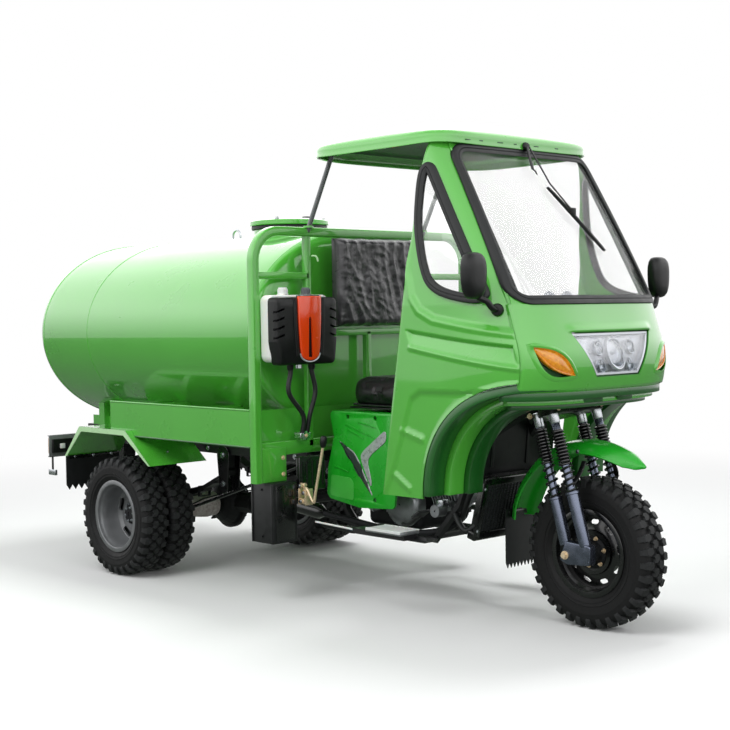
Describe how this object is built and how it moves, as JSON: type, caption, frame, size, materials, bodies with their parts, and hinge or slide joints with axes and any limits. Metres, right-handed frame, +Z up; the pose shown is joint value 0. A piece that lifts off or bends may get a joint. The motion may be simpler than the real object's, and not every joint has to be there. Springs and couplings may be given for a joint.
{
  "type": "cargo tricycle with liquid tank",
  "caption": "Three-wheeled motor cargo tricycle with an open-sided cab, a horizontal elliptical tank, twin rear wheels and a steered front fork.",
  "frame": {"origin": "centre of the vehicle's footprint box, on the ground", "axes": "+X forward, +Y to the vehicle's left, +Z up"},
  "size_m": [3.416, 1.408, 2.0175],
  "materials": {
    "green": "gloss",
    "green_plastic": "gloss",
    "chassis": "satin",
    "dark_steel": "satin",
    "alloy": "satin",
    "grey_paint": "satin",
    "zinc": "satin",
    "black_plastic": "matte",
    "rubber": "matte",
    "tyre": "matte",
    "seat_vinyl": "satin",
    "glass": "gloss",
    "lens": "gloss",
    "amber": "gloss"
  },
  "bodies": {
    "chassis": {"backrest": "seat_vinyl", "cab_nose": "green", "cab_roof": "green", "cab_side_left": "green", "cab_side_right": "green", "chassis_frame": "chassis", "dashboard": "black_plastic", "engine": "alloy", "gear_lever": "zinc", "guard_frame": "green", "headlight": "lens", "lamp_board": "grey_paint", "leaf_spring_left": "dark_steel", "leaf_spring_right": "dark_steel", "mirror_left": "black_plastic", "mirror_right": "black_plastic", "pump_box": "black_plastic", "pump_hoses": "rubber", "quarter_glass_left": "glass", "quarter_glass_right": "glass", "radiator": "black_plastic", "rear_axle": "dark_steel", "rear_fender_left": "green", "rear_fender_right": "green", "rear_flap_left": "rubber", "rear_flap_right": "rubber", "seat": "seat_vinyl", "seat_base": "green_plastic", "side_box_left": "black_plastic", "side_box_right": "black_plastic", "tank": "green", "tank_cradle": "green", "turn_signal_left": "amber", "turn_signal_right": "amber", "wheel_arch": "green", "windscreen": "glass", "windscreen_seal": "rubber", "wiper": "black_plastic"},
    "fork_body": {"fork": "chassis", "front_fender": "green_plastic", "front_flap": "rubber"},
    "front_wheel": {"front_rim": "chassis", "front_tyre": "tyre"},
    "rear_wheels_left": {"rear_rims_left": "grey_paint", "rear_tyre_left_inner": "tyre", "rear_tyre_left_outer": "tyre"},
    "rear_wheels_right": {"rear_rims_right": "grey_paint", "rear_tyre_right_inner": "tyre", "rear_tyre_right_outer": "tyre"},
    "lid": {"tank_lid": "green"}
  },
  "joints": [
    {"name": "steering", "type": "hinge", "parent": "chassis", "child": "fork_body", "pos_m": [1.242, 0, 0.83], "axis": [-0.2924, 0, 0.9563], "range_deg": [-35, 35]},
    {"name": "front_wheel_spin", "type": "hinge", "parent": "fork_body", "child": "front_wheel", "pos_m": [1.413, 0, 0.295], "axis": [0, 1, 0], "continuous": true},
    {"name": "rear_wheels_left_spin", "type": "hinge", "parent": "chassis", "child": "rear_wheels_left", "pos_m": [-0.908, 0.55675, 0.283], "axis": [0, 1, 0], "continuous": true},
    {"name": "rear_wheels_right_spin", "type": "hinge", "parent": "chassis", "child": "rear_wheels_right", "pos_m": [-0.908, -0.55675, 0.283], "axis": [0, 1, 0], "continuous": true},
    {"name": "tank_lid_hinge", "type": "hinge", "parent": "chassis", "child": "lid", "pos_m": [-0.588, 0, 1.663], "axis": [0, -1, 0], "range_deg": [0, 110]}
  ]
}
